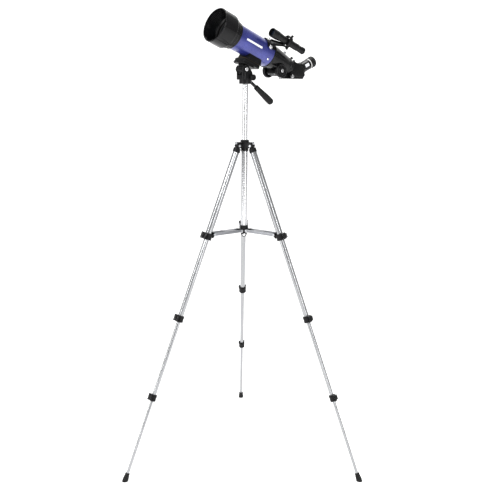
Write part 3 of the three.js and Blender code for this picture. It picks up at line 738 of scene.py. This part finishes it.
# ---------- pan head ----------
def pan_head():
    side = [(-15.5, 1030), (19, 1030), (20.5, 1040), *arc(TILT_H, TILT_Z, 10.4, 0, 150, 24), (-15.4, 1042.5)]
    body = solid("pan_body_shell", side, -17, 17, HEAD, SHELL, "pan_head", 0, XZ)
    plan = [
        *arc(10.4, 6.9, 10, 0, 90, 12), *arc(-5.4, 6.9, 10, 90, 180, 12),
        *arc(-5.4, -6.9, 10, 180, 270, 12), *arc(10.4, -6.9, 10, 270, 360, 12)
    ]
    carved(body, [lambda bm: prism(bm, plan, 1000, 1090)], HEAD, "INTERSECT")
    carved(
        body, [lambda bm: spun(bm, [(0, 1019.7), (15.2, 1019.7), (16, 1020.6), (16, 1031), (0, 1031)], 96)],
        HEAD, "UNION"
    )
    gap = [(30, 1042), (18.3, 1042), (5.2, 1028.8), (2.2, 1031), (-30, 1031), (-30, 1080), (30, 1080)]
    slot = [(8, 1035.4), (-8, 1019.3), (-30, 997.2), (-30, 1040), (8, 1040)]
    carved(
        body,
        [
            lambda bm: prism(bm, gap, -9, 9, XZ), lambda bm: prism(bm, slot, -4.7, 4.7, XZ),
            lambda bm: spun(bm, [(0, 1010), (5.2, 1010), (5.2, 1022.2), (0, 1022.2)], 48)
        ],
        HEAD
    )
    rounded(body, 0.8, 3, 40)
    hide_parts("pan_body")
    for y, name, at in ((16.9, "near", ALONG_Y), (-16.9, "far", ALONG_NEG_Y)):
        dial = lathe(
            f"pan_tilt_bolt_{name}",
            [(0, 0), (5, 0), (5, 1.1), (4.5, 1.8), (3.4, 2.2), (2.6, 2.3), (2.2, 1.4), (0, 1.4)],
            HEAD @ shift(TILT_H, y, TILT_Z) @ at, STEEL, "pan_head", 48, 0.2
        )
        ring = lathe(
            f"pan_dial_{name}", [(5.2, -0.3), (8.6, -0.3), (8.6, 0.25), (8.2, 0.5), (5.6, 0.5), (5.2, 0.2)],
            HEAD @ shift(TILT_H, y, TILT_Z) @ at, BLACK, "pan_head", 64, 0.1
        )
    band = lathe(
        "pan_scale_ring", [(15.9, 1021.4), (16.25, 1021.6), (16.25, 1023.6), (15.9, 1023.8)], HEAD, SATIN,
        "pan_head", 96, 0
    )
    knob = [
        (0, 17.6), (5.5, 17.6), (7.4, 18), (8, 18.8), (8, 23.8), (7.3, 24.7), (5.4, 25), (5.0, 24.4),
        (0, 24.4)
    ]
    bm = bmesh.new()
    spun(bm, fillet(knob, 0.3), 128)
    fluted(bm, 6.9, 18.3, 24.5, 8, 0.1)
    spun(bm, [(0, 12.4), (2, 12.4), (2, 17.8), (0, 17.8)], 32)
    piece = finished("pan_knob_grip", bm, HEAD @ shift(-8, 0, 1036) @ ALONG_Y, BLACK, "pan_lock")
    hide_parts("pan_knob")


def fluted(bm, inner, z0, z1, count, depth):
    """Scallops round a turned rim between two heights."""
    for v in bm.verts:
        r = math.hypot(v.co.x, v.co.y)
        if r > inner and z0 < v.co.z < z1:
            wave = (0.5 + 0.5 * math.cos(count * math.atan2(v.co.y, v.co.x))) ** 2
            v.co.x *= 1 - depth * wave
            v.co.y *= 1 - depth * wave


def knurled(name, profile, rim, count, depth, matrix, material, body, segments=64):
    """A turned piece scalloped outside rim[0], between the heights rim[1] and rim[2]."""
    bm = bmesh.new()
    spun(bm, profile, segments)
    fluted(bm, *rim, count, depth)
    return finished(name, bm, matrix, material, body)


def handle():
    at = HEAD @ shift(15.05, 0, 1049.1) @ turn("Y", -90 - 36.1)
    rod = lathe(
        "handle_rod", [(0, 8), (3.2, 8), (3.2, 22.3), (4, 22.8), (4, 66), (0, 66)], at, SATIN, "pan_handle",
        64, 0.15
    )
    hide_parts("handle")
    grip = [(0, 62), (4.6, 62), (6.4, 62.6), (6.8, 64)]
    grip += [(6.8 + 2.15 * (1 - math.cos(math.pi * k / 12)) / 2, 64 + 56 * k / 12) for k in range(1, 13)]
    grip += [(8.9, 125), (8.2, 128.6), (6.4, 130.9), (3.4, 131.8), (0, 132)]
    bm = bmesh.new()
    spun(bm, grip, 160)
    fluted(bm, 6.3, 65, 127, 10, 0.13)
    piece = finished("handle_grip", bm, at, RUBBER, "pan_handle", 50)


# ---------- telescope ----------
def to_scope(h, z):
    """A place on the head, outward and up, as one along and above the tube's axis."""
    dz = z - TELESCOPE_Z
    along = h * math.cos(ELEVATION) + dz * math.sin(ELEVATION)
    return along, dz * math.cos(ELEVATION) - h * math.sin(ELEVATION)


TILT_S, TILT_T = to_scope(TILT_H, TILT_Z)
HINGE_Y, HINGE_T = -20.8, -50.3


def tilt_block():
    at, body = SCOPE, "tilt_head"
    barrel = lathe(
        "tilt_barrel", [(0, -14), (4, -14), (4, -8.7), (10, -8.7), (10, 8.7), (4, 8.7), (4, 14), (0, 14)],
        at @ shift(TILT_S, 0, TILT_T) @ ALONG_Y, SHELL, body, 96, 0.4
    )
    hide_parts("tilt_block")
    neck = [(TILT_S - 8, TILT_T), (TILT_S + 8, TILT_T), (TILT_S + 9.5, -54.2), (TILT_S - 9.5, -54.2)]
    solid("tilt_neck", neck, -8.7, 8.7, at, SHELL, body, 0.7, XZ)
    plate = [(-36, -18), (4, -18), (4, 16), (1, 19), (-33, 19), (-36, 16)]
    solid("tilt_plate", plate, -54.5, -50.7, at, SHELL, body, 0.8)
    s, t = to_scope(15.05, 1049.1)
    boss = lathe(
        "tilt_handle_boss",
        [(0, -3), (6.4, -3), (6.4, 17), (6.0, 18.5), (5.4, 22), (3.4, 22), (3.4, 8), (0, 8)],
        at @ shift(s, 0, t) @ turn("Y", -90 - 36.1 + 21), SHELL, body, 64, 0.4
    )
    for a, b in ((-34, -24), (-6, 3)):
        lug = lathe(
            f"tilt_hinge_{abs(a)}", [(0, a), (2.4, a), (2.4, b), (0, b)],
            at @ shift(0, HINGE_Y, HINGE_T) @ ALONG_X, SHELL, body, 40, 0.3
        )
        web = solid(
            f"tilt_hinge_web_{abs(a)}", block(a, b, HINGE_Y - 0.5, -17), -54.4, -51.3, at, SHELL, body, 0.4
        )
    pin = lathe(
        "tilt_hinge_pin", [(0, -34.6), (1.1, -34.6), (1.1, 3.6), (0, 3.6)],
        at @ shift(0, HINGE_Y, HINGE_T) @ ALONG_X, GREY_STEEL, body, 24, 0.2
    )


def platform():
    at, body = SCOPE, "telescope"
    plate = [(-52, -17.9), (4, -17.9), (4, 17), (1, 20), (-49, 20), (-52, 17)]
    base = solid("platform_plate", plate, -50.2, -42.2, at, BLACK, body, 0)
    carved(
        base,
        [
            lambda bm: spun(
                bm, [(0, 7.4), (2.9, 7.4), (2.9, 19.2), (0, 19.2)], 40, shift(-49.4, 0, -45.2) @ ALONG_Y
            )
        ],
        at
    )
    rounded(base, 0.8, 3, 40)
    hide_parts("platform")
    pad = solid(
        "platform_pad", [(-50, -16.5), (2.4, -16.5), (2.4, 15.6), (0, 18.4), (-47.8, 18.4), (-50, 16)],
        -42.2, -40, at, CORK, body, 0.5
    )
    knuckle = lathe(
        "platform_hinge", [(0, -23.4), (2.4, -23.4), (2.4, -6.6), (0, -6.6)],
        at @ shift(0, HINGE_Y, HINGE_T) @ ALONG_X, BLACK, body, 40, 0.3
    )
    solid(
            "platform_hinge_web", block(-23.4, -6.6, HINGE_Y - 0.6, -17), -50.1, -46.5, at, BLACK, body, 0.4
        )
    flank = [(-53, -41), (-48.4, -20), (-48, -14), (-9, -14), (-8.6, -20), (-4, -41)]
    saddle = solid("platform_saddle", flank, -20, 20, at, SHELL, body, 0, XZ)
    carved(
        saddle,
        [lambda bm: spun(bm, [(0, -90), (TUBE_R + 0.05, -90), (TUBE_R + 0.05, 70), (0, 70)], 128, ALONG_X)],
        at
    )
    rounded(saddle, 0.7, 3, 40)
    for s in (-47.5, -9.6):
        rib = solid(
            f"platform_saddle_rib_{int(-s)}",
            [(s - 1.6, -40), (s + 1.6, -40), (s + 1.2, -31), (s - 1.2, -31)], -21.2, 21.2, at, SHELL, body,
            0.5, XZ
        )
    vial = lathe(
        "bubble_vial", [(0, 8.9), (2.1, 8.9), (2.5, 9.4), (2.5, 17.6), (2.1, 18.1), (0, 18.1)],
        at @ shift(-49.4, 0, -45.2) @ ALONG_Y, VIAL, body, 48, 0.2
    )
    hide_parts("bubble_level")


def main_tube():
    at, body = SCOPE @ ALONG_X, "telescope"
    tube = lathe(
        "main_tube_wall", [(31, -75), (32.5, -75), (32.5, 49.6), (31, 49.6)], at, BLUE, body, 192, 0.15
    )
    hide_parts("main_tube")
    for k, angle in enumerate((116, -4, 236)):
        head = [(0, 31.6), (2.9, 31.6), (2.9, 33.0), (2.3, 33.8), (1.2, 34.1), (0.9, 33.5), (0, 33.5)]
        screw = lathe(
            f"main_tube_screw{k}", head, SCOPE @ turn("X", angle) @ shift(-63, 0, 0), STEEL, body, 40, 0.15
        )
    bar = curved_sheet((TUBE_R + 0.02, TUBE_R + 0.16), (-31, 23), (-98, -89), 24, 10, on_tube)
    piece = finished("tube_bar_large", bar, SCOPE, WHITE, body)


def dew_shield():
    at, body = SCOPE @ ALONG_X, "telescope"
    outer = [
        (34.6, 43), (35.5, 43.6), (35.5, 46.2), (34.7, 47), (34.7, 49.4), (35.6, 50.2), (35.6, 52.2),
        (38.2, 54), (38.2, 56.8), (37.7, 57.3), (37.7, 58.3), (38.3, 58.8), (38.6, 62.2), (40.6, 64.2),
        (42.9, 65.2), (43.4, 66.6), (43.4, 104.2), (42.9, 105.3), (41.6, 105.6), (40.7, 105.2), (40.5, 104)
    ]
    inner = []
    for k in range(8):  # fine anti-glare steps down the inside
        s = 101 - 4.2 * k
        inner += [(40.3, s), (40.3, s - 2.6), (39.9, s - 3.1), (39.9, s - 3.9)]
    shield = lathe(
        "dew_shield_barrel",
        outer + inner + [(39.4, 67.6), (36.6, 64), (36.6, 54.7), (32.6, 54.7), (32.6, 43)], at, GLOSS, body,
        192, 0.35
    )
    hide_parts("dew_shield")
    cell = lathe(
        "objective_ring", [(30.2, 58.4), (31, 62.2), (32.4, 62.6), (36.2, 62.1), (36.2, 55), (30.2, 55)],
        at, BAFFLE, body, 128, 0.3
    )
    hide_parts("objective")
    dome = [(0, 50), (30.6, 50), (30.6, 58.8)] + [
        (30.6 * math.cos(math.radians(a)), 58.8 + 4.2 * math.sin(math.radians(a)))
        for a in range(10, 91, 10)
    ]
    dome[-1] = (0, 63)
    lens = lathe("objective_lens", dome, at, GLASS, body, 128, 0)


def focuser():
    at, body = SCOPE @ ALONG_X, "telescope"
    cone = [
        (21.2, -150), (22.6, -149.8), (23.2, -148.6), (23.2, -145.4), (22.9, -144.6), (23.9, -139),
        (25.5, -130), (28.4, -108), (30.2, -94), (31.3, -81.6), (31.9, -80.4), (33.2, -80), (33.4, -79.4),
        (33.4, -76.2), (33.1, -75.5), (30.8, -75.3), (30.8, -70), (29, -70), (28.6, -80), (20.2, -88),
        (20.2, -150)
    ]
    shell = lathe("focuser_cone", cone, at, GLOSS, body, 192, 0.4)
    s, t = PINION_S, PINION_T
    wells = [
        lambda bm, y=y: spun(bm, [(0, 0), (18.3, 0), (18.3, 20), (0, 20)], 96, shift(s, y, t) @ ALONG_Y)
        for y in (21.6, -41.6)
    ]
    carved(shell, wells, SCOPE)
    rounded(shell, 0.35, 2, 45)
    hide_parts("focuser_body")
    box = [(s - 11, -24), (s - 11, -36.5), (s - 9, -38.5), (s + 9, -38.5), (s + 11, -36.5), (s + 11, -24)]
    house = solid("focuser_pinion_house", box, -17, 17, SCOPE, BLACK, body, 0.9, XZ)
    for y in (-11, 11):
        for ds in (-7, 7):
            screw = lathe(
                f"focuser_plate_screw_{ds + 7}_{y + 11}",
                [(0, 0), (1.9, 0), (1.9, 0.6), (1.2, 1.0), (0.6, 0.5), (0, 0.5)],
                SCOPE @ shift(s + ds, y, -38.4) @ turn("X", 180), GREY_STEEL, body, 24, 0
            )
    lock = [
        (0, 21.5), (1.9, 21.5), (1.9, 28.2), (3.4, 28.4), (3.6, 29), (3.6, 31.8), (3.2, 32.6), (2.2, 33),
        (0, 33)
    ]
    place = SCOPE @ shift(-134, 0, 0)
    knurled("focuser_lock_screw", lock, (2.6, 28.8, 32.4), 16, 0.07, place, GREY_STEEL, body)


def drawtube():
    at, body = SCOPE @ ALONG_X, "focus_tube"
    tube = [
        (16.2, -158), (20.5, -158), (21.4, -157.2), (21.4, -152.4), (20.9, -151.4), (19.9, -151),
        (19.9, -90), (18.2, -90), (18.2, -134), (16.2, -136)
    ]
    wall = lathe("drawtube_wall", tube, at, GLOSS, body, 144, 0.25)
    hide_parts("drawtube")
    bm = bmesh.new()
    teeth = [(-149, -19.2)]
    for i in range(37):
        x = -148.6 + 1.5 * i
        teeth += [(x, -21.4), (x + 0.35, -22.2), (x + 0.8, -22.2), (x + 1.15, -21.4)]
    prism(bm, teeth + [(-92, -19.2)], -3, 3, XZ)
    finished("drawtube_rack", bm, SCOPE, SATIN, body)
    screw = [
        (0, 19.6), (1.6, 19.6), (1.6, 23), (3.4, 23.2), (3.6, 23.8), (3.6, 26.8), (3.1, 27.6), (2.2, 28),
        (0, 28)
    ]
    for k, angle in enumerate((-22, 98)):
        place = SCOPE @ turn("X", angle) @ shift(-154.6, 0, 0)
        piece = knurled(f"drawtube_thumbscrew{k}", screw, (2.6, 23.4, 27.4), 16, 0.07, place, SATIN, body)


def focus_knobs():
    s, t = PINION_S, PINION_T
    body = "focus_wheel"
    for side, name, at in ((1, "left", ALONG_Y), (-1, "right", ALONG_NEG_Y)):
        place = SCOPE @ shift(s, 0, t) @ at
        grip = [
            (0, 22), (16.4, 22), (17.6, 22.6), (17.8, 23.4), (17.8, 28.2), (17.4, 29.2), (16.2, 29.8),
            (15.2, 29.9), (14.4, 29.2), (12.8, 28.8), (11.9, 29.2), (11.6, 30.2), (10.6, 30.8), (0, 30.8)
        ]
        rim = (17.0, 23.2, 28.9)
        knob = knurled(f"focus_knob_{name}", fillet(grip, 0.3), rim, 30, 0.05, place, SATIN, body, 240)
        if side > 0:
            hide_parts("focus_knobs")
        cap = lathe(
            f"focus_cap_{name}", [(0, 30.2), (4.6, 30.2), (4.6, 31.0), (4.0, 31.5), (1.6, 31.7), (0, 31.7)],
            place, STEEL, body, 64, 0.15
        )
    shaft = lathe(
        "focus_shaft", [(0, -24), (3, -24), (3, 24), (0, 24)], SCOPE @ shift(s, 0, t) @ ALONG_Y, STEEL,
        body, 48, 0.2
    )


def diagonal():
    body = "star_diagonal"
    outline = [
        (-163, 17), (-181, 17), (-187.3, 23.4), (-211.5, -0.8), (-208, -12.5), (-164, -29), (-163, -27.5)
    ]
    shell = solid("diagonal_body", outline, -16.6, 16.6, SCOPE, SATIN, body, 1.0, XZ)
    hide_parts("diagonal")
    for y0, y1, name in ((15.8, 17, "left"), (-17, -15.8, "right")):
        inset = [
            (-166, 13), (-179, 13), (-186.8, 18.6), (-207.4, -2.0), (-204.6, -10.4), (-168.6, -24),
            (-166, -22)
        ]
        solid(f"diagonal_cover_{name}", inset, y0, y1, SCOPE, GLOSS, body, 0.5, XZ)
    base = [(-151.7, -32.7), (-152.6, -34.9), (-207.3, -14.1), (-206.4, -11.6)]
    solid("diagonal_base_plate", base, -17, 17, SCOPE, SATIN, body, 0.7, XZ)
    nose = lathe(
        "diagonal_nose",
        [
            (13, -140), (15.7, -140), (15.7, -158.2), (18.2, -158.5), (18.4, -159.2), (18.4, -163.4),
            (17.8, -164), (13, -164)
        ],
        SCOPE @ ALONG_X, GLOSS, body, 128, 0.3
    )
    collar = lathe(
        "diagonal_collar",
        [
            (12.7, -4), (16.6, -4), (16.6, 1.4), (16.1, 2), (16.1, 2.8), (16.6, 3.4), (16.6, 6.2), (16, 7),
            (12.7, 7)
        ],
        EYE, SATIN, body, 128, 0.3
    )
    screw = [
        (0, 16), (2, 16), (2, 19), (4.1, 19.2), (4.4, 19.8), (4.4, 23.8), (3.9, 24.5), (2.4, 24.8),
        (0, 24.8)
    ]
    place = SCOPE @ shift(-167, -3, -23) @ ALONG_Y
    piece = knurled("diagonal_thumbscrew", screw, (3.2, 19.6, 24.2), 20, 0.07, place, STEEL, body, 96)
    screw = [(0, 14), (1.6, 14), (1.6, 18.8), (2.9, 19), (3.2, 19.6), (3.2, 24.2), (2.6, 25), (0, 25)]
    place = SCOPE @ shift(-173, 0, 0)
    knurled("diagonal_top_screw", screw, (2.4, 19.4, 24.4), 14, 0.08, place, SATIN, body)


def eyepiece():
    body = "ocular"
    barrel = [
        (10.8, -8), (12.3, -8), (12.3, 7.3), (13.4, 7.3), (14.2, 8), (14.2, 12.4), (13.8, 12.8),
        (13.8, 13.6), (14.2, 14), (14.2, 31.6), (13.8, 32), (13.8, 32.8), (14.2, 33.2), (14.2, 34.4),
        (10.8, 34.4)
    ]
    piece = lathe("eyepiece_barrel", barrel, EYE, SATIN, body, 144, 0.2)
    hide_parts("eyepiece")
    ring = lathe(
        "eyepiece_ring", [(13, 34.5), (14.4, 34.5), (14.8, 34.9), (14.8, 36.6), (14.4, 37), (13, 37)], EYE,
        RING_WHITE, body, 144, 0.2
    )
    cup = [
        (9.4, 37.1), (14.3, 37.1), (15.1, 37.8), (15.2, 40), (14.8, 40.6), (14.8, 41.4), (15.2, 42),
        (15.2, 44), (14.8, 44.6), (14.8, 45.4), (15.2, 46), (15.2, 52), (14.6, 53.2), (13.4, 53.5),
        (12.4, 53), (11.4, 48.4), (9.4, 46)
    ]
    lathe("eyepiece_cup", cup, EYE, RUBBER, body, 144, 0.25)
    glass = lathe(
        "eyepiece_lens", [(0, 43), (9.6, 43), (9.6, 45), (7, 45.7), (0, 46.1)], EYE, GLASS, body, 96, 0
    )
    label = curved_sheet((14.22, 14.34), (12.5, 27), (60, 94), 1, 16, on_eyepiece)
    finished("eyepiece_label", label, EYE, WHITE, body)


def finder():
    body = "telescope"
    profile = [
        (0, -154.6), (6, -154.6), (6.6, -156.4), (7.2, -157), (8.4, -157), (9, -156.2), (9, -153.4),
        (8.6, -153), (8.6, -152), (9, -151.6), (9, -148.6), (8.2, -146), (8.2, -134.4), (8.6, -134),
        (9, -133.2), (9, -129.4), (8.6, -128.8), (9, -128), (9, -122), (8.7, -121.6), (8.7, -120.6),
        (9, -120.2), (9, -84), (9.3, -74), (10.1, -66), (11.1, -59), (11.4, -57.4), (11.0, -56.6),
        (11.0, -55.6), (11.4, -55), (11.4, -38.4), (11, -37.2), (10.4, -37), (9.9, -37.5), (9.7, -48),
        (0, -48)
    ]
    scope = lathe("finder_body", profile, FINDER @ ALONG_X, SATIN, body, 128, 0.2)
    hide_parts("finder_scope")
    lathe(
            "finder_objective", [(0, -47.6), (9.5, -47.6), (9.5, -46.8), (6, -45.8), (0, -45.3)],
            FINDER @ ALONG_X, GLASS, body, 96, 0
        )
    lathe(
            "finder_eye_lens", [(0, -154.7), (6, -154.7), (6, -155.3), (3, -155.8), (0, -155.9)],
            FINDER @ ALONG_X, GLASS, body, 64, 0
        )
    ring = lathe(
        "finder_ring",
        [
            (12.6, -101), (15.2, -101), (15.6, -100.4), (15.6, -98), (15.1, -97.5), (15.1, -94.5),
            (15.6, -94), (15.6, -91.6), (15.2, -91), (12.6, -91)
        ],
        FINDER @ ALONG_X, SHELL, body, 128, 0.3
    )
    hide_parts("finder_bracket")
    screw = [
        (0, 9.2), (1.6, 9.2), (1.6, 17), (3.1, 17.2), (3.4, 17.8), (3.4, 20.6), (2.9, 21.3), (1.8, 21.6),
        (0, 21.6)
    ]
    for k, angle in enumerate((0, 120, 240)):
        place = FINDER @ turn("X", angle) @ shift(-96, 0, 0)
        metal = BLACK if k == 1 else SATIN
        piece = knurled(f"finder_screw{k}", screw, (2.5, 17.4, 21.2), 14, 0.08, place, metal, body)
    blade = [(0, -10.5), (4, -11), (35, -4.6), (38.5, -4.6), (38.5, 4.6), (35, 4.6), (4, 11), (0, 10.5)]
    slope = FINDER @ shift(-59, 0, -24.6) @ turn("Y", -163)
    solid("finder_arm", blade, -1.1, 1.3, slope, SHELL, body, 0.5)
    for side in (-1, 1):
        flange = [(1, side * 9.4), (36, side * 3.6), (36, side * 2.2), (1, side * 7.6)][:: side]
        solid(f"finder_arm_rib{side + 1}", flange, -4.6, -1, slope, SHELL, body, 0.4)
    plate = curved_sheet((TUBE_R + 0.1, TUBE_R + 3.3), (-72, -46), (-15, -75), 1, 24, on_tube)
    saddle = rounded(finished("finder_foot", plate, SCOPE, SHELL, body), 0.6, 3, 40)
    nut = [(0, 35), (5.0, 35.6), (5.2, 36), (5.2, 38.2), (4.6, 39), (2.6, 39.4), (2.2, 39.8), (2.2, 41.8)]
    nut += [(1.6, 42.3), (0, 42.4)]
    for k, angle in enumerate((-30, 18)):
        place = FINDER @ shift(0, 0, -60) @ turn("X", angle) @ shift(-54, 0, 0)
        piece = knurled(f"finder_nut{k}", nut, (4.4, 35.8, 38.7), 18, 0.06, place, STEEL, body, 80)


# ---------- stage ----------
def stage():
    """A white cove, curved up behind the object."""
    mesh = bpy.data.meshes.new("floor")
    bm = bmesh.new()
    size, rise, radius = 7.0, 4.5, 1.5
    rows = [(-size, 0.0), (2.0, 0.0)]
    rows += [
        (2.0 + radius * math.sin(math.radians(a)), radius * (1 - math.cos(math.radians(a))))
        for a in range(10, 91, 10)
    ]
    rows.append((2.0 + radius, rise))
    strips = [[bm.verts.new((x, y, z - 0.0004)) for x in (-size, size)] for y, z in rows]
    for a, b in zip(strips, strips[1:]):
        bm.faces.new((a[0], a[1], b[1], b[0]))
    bm.to_mesh(mesh)
    bm.free()
    mesh.shade_smooth()
    floor = bpy.data.objects.new("floor", mesh)
    bpy.context.collection.objects.link(floor)
    m = bpy.data.materials.new("floor_white")
    m.use_nodes = True
    b = m.node_tree.nodes["Principled BSDF"]
    b.inputs["Base Color"].default_value = (0.86, 0.86, 0.86, 1)
    b.inputs["Roughness"].default_value = 0.7
    b.inputs["Specular IOR Level"].default_value = 0.1
    b.inputs["Emission Color"].default_value = (1, 1, 1, 1)
    b.inputs["Emission Strength"].default_value = 0.4
    mesh.materials.append(m)


def softbox(name, place, target, size, power):
    light = bpy.data.lights.new(name, "AREA")
    light.shape = "RECTANGLE"
    light.size, light.size_y = size
    light.energy = power
    obj = bpy.data.objects.new(name, light)
    bpy.context.collection.objects.link(obj)
    obj.location = place
    obj.rotation_euler = (Vector(target) - Vector(place)).to_track_quat("-Z", "Y").to_euler()


def lights():
    world = bpy.data.worlds.new("studio")
    bpy.context.scene.world = world
    world.use_nodes = True
    world.node_tree.nodes["Background"].inputs["Color"].default_value = (1, 1, 1, 1)
    world.node_tree.nodes["Background"].inputs["Strength"].default_value = 0.4
    bpy.context.scene.view_settings.view_transform = "Standard"
    softbox("key", (-1.5, -2.2, 2.5), (0, 0, 0.9), (0.8, 1.4), 62)
    softbox("strip_right", (1.6, -2.6, 1.2), (0, 0, 0.7), (0.4, 2.2), 34)
    softbox("strip_left", (-2.3, -1.6, 1.2), (0, 0, 0.7), (0.4, 2.2), 30)
    softbox("top", (0.2, 0.5, 2.9), (0, 0, 0.9), (1.4, 0.7), 45)


def camera():
    """The height, distance and heading that the reference view was taken from."""
    heading, pitch, roll = math.radians(0.499 + 0.789), math.radians(12.629), math.radians(0.632)
    cam = bpy.data.cameras.new("camera")
    cam.sensor_width, cam.lens = 36.0, 52.8
    obj = bpy.data.objects.new("camera", cam)
    bpy.context.collection.objects.link(obj)
    distance, height, swing = 1.9294, 1.0154, math.radians(-0.789)
    place = Vector((distance * math.sin(swing), -distance * math.cos(swing), height))
    look = Vector(
        (math.sin(heading) * math.cos(pitch), math.cos(heading) * math.cos(pitch), -math.sin(pitch))
    )
    aim = look.to_track_quat("-Z", "Y").to_matrix().to_4x4()
    obj.matrix_world = Matrix.Translation(
        place + Vector((AXIS_X, AXIS_Y, 0))
    ) @ aim @ Matrix.Rotation(roll, 4, "Z")
    bpy.context.scene.camera = obj


for number, degrees in LEG_AZIMUTHS.items():
    leg(number, degrees)
spider()
middle()
pan_head()
handle()
tilt_block()
platform()
main_tube()
dew_shield()
focuser()
drawtube()
focus_knobs()
diagonal()
eyepiece()
finder()
stage()
lights()
camera()
